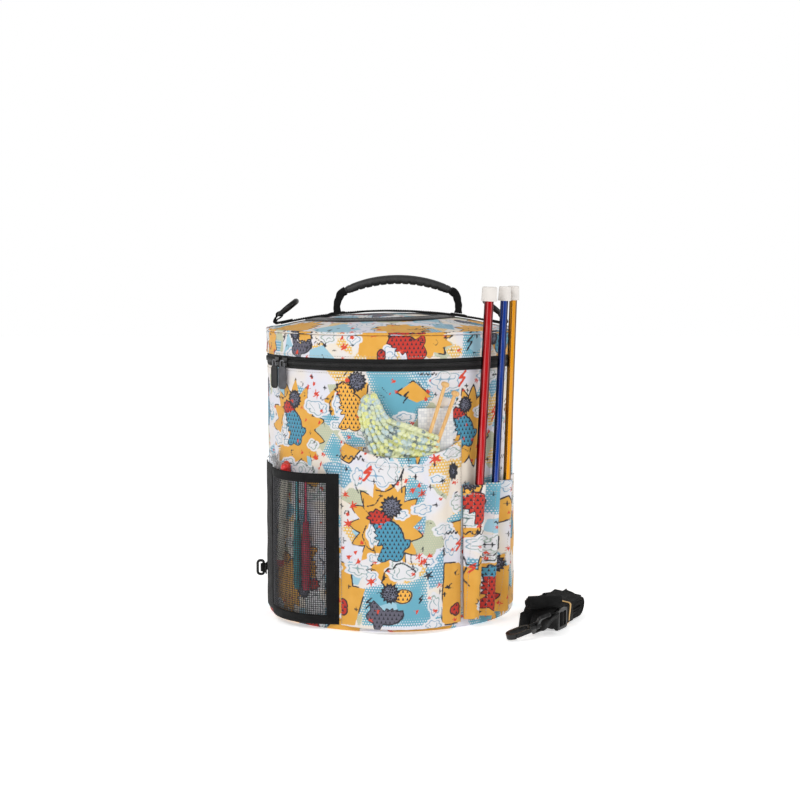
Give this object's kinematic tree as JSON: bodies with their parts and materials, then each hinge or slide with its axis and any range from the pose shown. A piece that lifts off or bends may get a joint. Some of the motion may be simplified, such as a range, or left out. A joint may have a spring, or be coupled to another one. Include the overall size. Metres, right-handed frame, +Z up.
{
  "type": "knitting bag",
  "caption": "Round zip-top yarn drum in printed cloth with outside pockets, lid handle, strap rings, knitting tools and a folded shoulder strap.",
  "frame": {"origin": "centre of the bag's round base, on the floor", "axes": "+Z up along the bag's axis, -Y is the front with the open pocket, +X is to the right seen from the front"},
  "size_m": [0.3731, 0.3236, 0.3795],
  "materials": {
    "print_fabric": "printed cotton canvas",
    "base_print": "printed cotton canvas",
    "black_cloth": "plain weave",
    "lining_cloth": "smooth polyester",
    "board": "stiffener board",
    "net": "open knotted net",
    "binding": "folded tape",
    "satin_binding": "satin",
    "webbing": "woven webbing",
    "zip_tape": "woven tape",
    "zip_teeth": "moulded coil",
    "zip_metal": "satin",
    "pull_black": "moulded",
    "pull_grey": "moulded",
    "grip_rubber": "matt moulded",
    "black_plastic": "satin moulded",
    "anodised_red": "anodised",
    "anodised_blue": "anodised",
    "anodised_gold": "anodised",
    "clear_cap": "translucent",
    "bamboo": "sanded",
    "card": "card",
    "knit_yarn": "boucle knit",
    "teal_grip": "soft moulded",
    "crimson_grip": "soft moulded",
    "teal_metal": "anodised",
    "crimson_metal": "anodised",
    "cream_plastic": "moulded",
    "red_plastic": "moulded",
    "grey_yarn": "spun yarn",
    "tan_rubber": "natural rubber"
  },
  "bodies": {
    "bag": {"base_band": "base_print", "base_panel": "black_cloth", "base_board": "board", "base_lining": "lining_cloth", "body_wall": "print_fabric", "side_lining": "lining_cloth", "front_pocket": "print_fabric", "mesh_pocket_binding": "binding", "mesh_pocket_net": "net", "mesh_pocket_side": "black_cloth", "needle_pocket": "print_fabric", "zip_tape_lower": "zip_tape", "zip_teeth_lower": "zip_teeth", "hinge_panel": "print_fabric", "lower_ring_tab": "webbing"},
    "lid": {"lid_side": "print_fabric", "lid_crown": "print_fabric", "lid_piping": "print_fabric", "lid_lining": "lining_cloth", "lid_bound_ring": "satin_binding", "lid_webbing": "webbing", "zip_tape_upper": "zip_tape", "zip_teeth_upper": "zip_teeth"},
    "handle": {"handle_grip": "grip_rubber", "handle_webbing": "webbing"},
    "ring_left": {"d_ring_left": "black_plastic"},
    "ring_right": {"d_ring_right": "black_plastic"},
    "ring_lower": {"d_ring_lower": "black_plastic"},
    "slider_left": {"zip_slider_left": "zip_metal"},
    "slider_right": {"zip_slider_right": "zip_metal"},
    "pull_left": {"pull_link_left": "zip_metal", "pull_tab_left": "pull_black"},
    "pull_right": {"pull_link_right": "zip_metal", "pull_tab_right": "pull_grey"},
    "red_needle": {"needle_red": "anodised_red", "needle_cap_red": "clear_cap"},
    "blue_needle": {"needle_blue": "anodised_blue", "needle_cap_blue": "clear_cap"},
    "gold_needle": {"needle_gold": "anodised_gold", "needle_cap_gold": "clear_cap"},
    "knitting": {"knitted_piece": "knit_yarn", "bamboo_needles": "bamboo", "pattern_card": "card"},
    "teal_hook": {"hook_grip_teal": "teal_grip", "hook_shank_teal": "teal_metal"},
    "crimson_hook": {"hook_grip_crimson": "crimson_grip", "hook_shank_crimson": "crimson_metal"},
    "case": {"needle_case": "cream_plastic", "needle_case_caps": "red_plastic"},
    "tassel": {"yarn_tassel": "grey_yarn"},
    "strap": {"strap_webbing": "webbing", "rubber_band": "tan_rubber", "strap_slider": "black_plastic", "snap_hook_eyes": "black_plastic"},
    "hook_front": {"snap_hook_front": "black_plastic"},
    "hook_rear": {"snap_hook_rear": "black_plastic"},
    "gate_front": {"snap_gate_front": "black_plastic"},
    "gate_rear": {"snap_gate_rear": "black_plastic"}
  },
  "joints": [
    {"name": "lid_hinge", "type": "hinge", "parent": "bag", "child": "lid", "pos_m": [0, 0.1422, 0.2855], "axis": [-1, 0, 0], "range_deg": [0, 150]},
    {"name": "handle_tilt", "type": "hinge", "parent": "lid", "child": "handle", "pos_m": [0.0085, 0, 0.3432], "axis": [1, 0, 0], "range_deg": [-60, 60]},
    {"name": "ring_left_swing", "type": "hinge", "parent": "lid", "child": "ring_left", "pos_m": [-0.1261, 0, 0.3338], "axis": [0, 1, 0], "range_deg": [-150, 30]},
    {"name": "ring_right_swing", "type": "hinge", "parent": "lid", "child": "ring_right", "pos_m": [0.1261, 0, 0.3338], "axis": [0, 1, 0], "range_deg": [-30, 150]},
    {"name": "ring_lower_swing", "type": "hinge", "parent": "bag", "child": "ring_lower", "pos_m": [-0.1464, 0, 0.043], "axis": [0, 0, 1], "range_deg": [-70, 70]},
    {"name": "zip_travel_left", "type": "hinge", "parent": "bag", "child": "slider_left", "pos_m": [0, 0, 0.2855], "axis": [0, 0, 1], "range_deg": [-90, 0]},
    {"name": "zip_travel_right", "type": "hinge", "parent": "bag", "child": "slider_right", "pos_m": [0, 0, 0.2855], "axis": [0, 0, 1], "range_deg": [0, 204]},
    {"name": "pull_left_lift", "type": "hinge", "parent": "slider_left", "child": "pull_left", "pos_m": [-0.12672, -0.0717, 0.2855], "axis": [-0.4924, 0.8704, 0], "range_deg": [0, 160]},
    {"name": "pull_right_lift", "type": "hinge", "parent": "slider_right", "child": "pull_right", "pos_m": [-0.11704, -0.08661, 0.2855], "axis": [-0.5948, 0.8039, 0], "range_deg": [0, 160]},
    {"name": "red_needle_draw", "type": "slide", "parent": "bag", "child": "red_needle", "axis": [0.0471, 0.0033, 0.9989], "range_m": [0, 0.15]},
    {"name": "blue_needle_draw", "type": "slide", "parent": "bag", "child": "blue_needle", "axis": [0.0454, 0.0109, 0.9989], "range_m": [0, 0.15]},
    {"name": "gold_needle_draw", "type": "slide", "parent": "bag", "child": "gold_needle", "axis": [0.0279, -0.0072, 0.9996], "range_m": [0, 0.15]},
    {"name": "knitting_draw", "type": "slide", "parent": "bag", "child": "knitting", "axis": [0, 0, 1], "range_m": [0, 0.15]},
    {"name": "teal_hook_draw", "type": "slide", "parent": "bag", "child": "teal_hook", "axis": [0, 0, 1], "range_m": [0, 0.135]},
    {"name": "crimson_hook_draw", "type": "slide", "parent": "bag", "child": "crimson_hook", "axis": [0, 0, 1], "range_m": [0, 0.135]},
    {"name": "case_draw", "type": "slide", "parent": "bag", "child": "case", "axis": [0.0647, -0.1093, 0.9919], "range_m": [0, 0.11]},
    {"name": "tassel_draw", "type": "slide", "parent": "bag", "child": "tassel", "axis": [-0.0642, 0.0532, 0.9965], "range_m": [0, 0.06]},
    {"name": "strap_lift", "type": "slide", "parent": "bag", "child": "strap", "axis": [0, 0, 1], "range_m": [0, 0.25]},
    {"name": "swivel_front", "type": "hinge", "parent": "strap", "child": "hook_front", "pos_m": [0.156, -0.162, 0.0136], "axis": [-0.8874, -0.3852, -0.2531], "continuous": true},
    {"name": "gate_front_press", "type": "hinge", "parent": "hook_front", "child": "gate_front", "pos_m": [0.14518, -0.17422, 0.00973], "axis": [0.2322, 0.1008, -0.9674], "range_deg": [0, 25], "stiffness_Nm_per_rad": 0.01, "springref_deg": -11.46},
    {"name": "swivel_rear", "type": "hinge", "parent": "strap", "child": "hook_rear", "pos_m": [0.181, -0.036, 0.0136], "axis": [-0.4839, -0.8378, -0.2529], "continuous": true},
    {"name": "gate_rear_press", "type": "hinge", "parent": "hook_rear", "child": "gate_rear", "pos_m": [0.17957, -0.05227, 0.00973], "axis": [0.1265, 0.219, -0.9675], "range_deg": [0, 25], "stiffness_Nm_per_rad": 0.01, "springref_deg": -11.46}
  ]
}
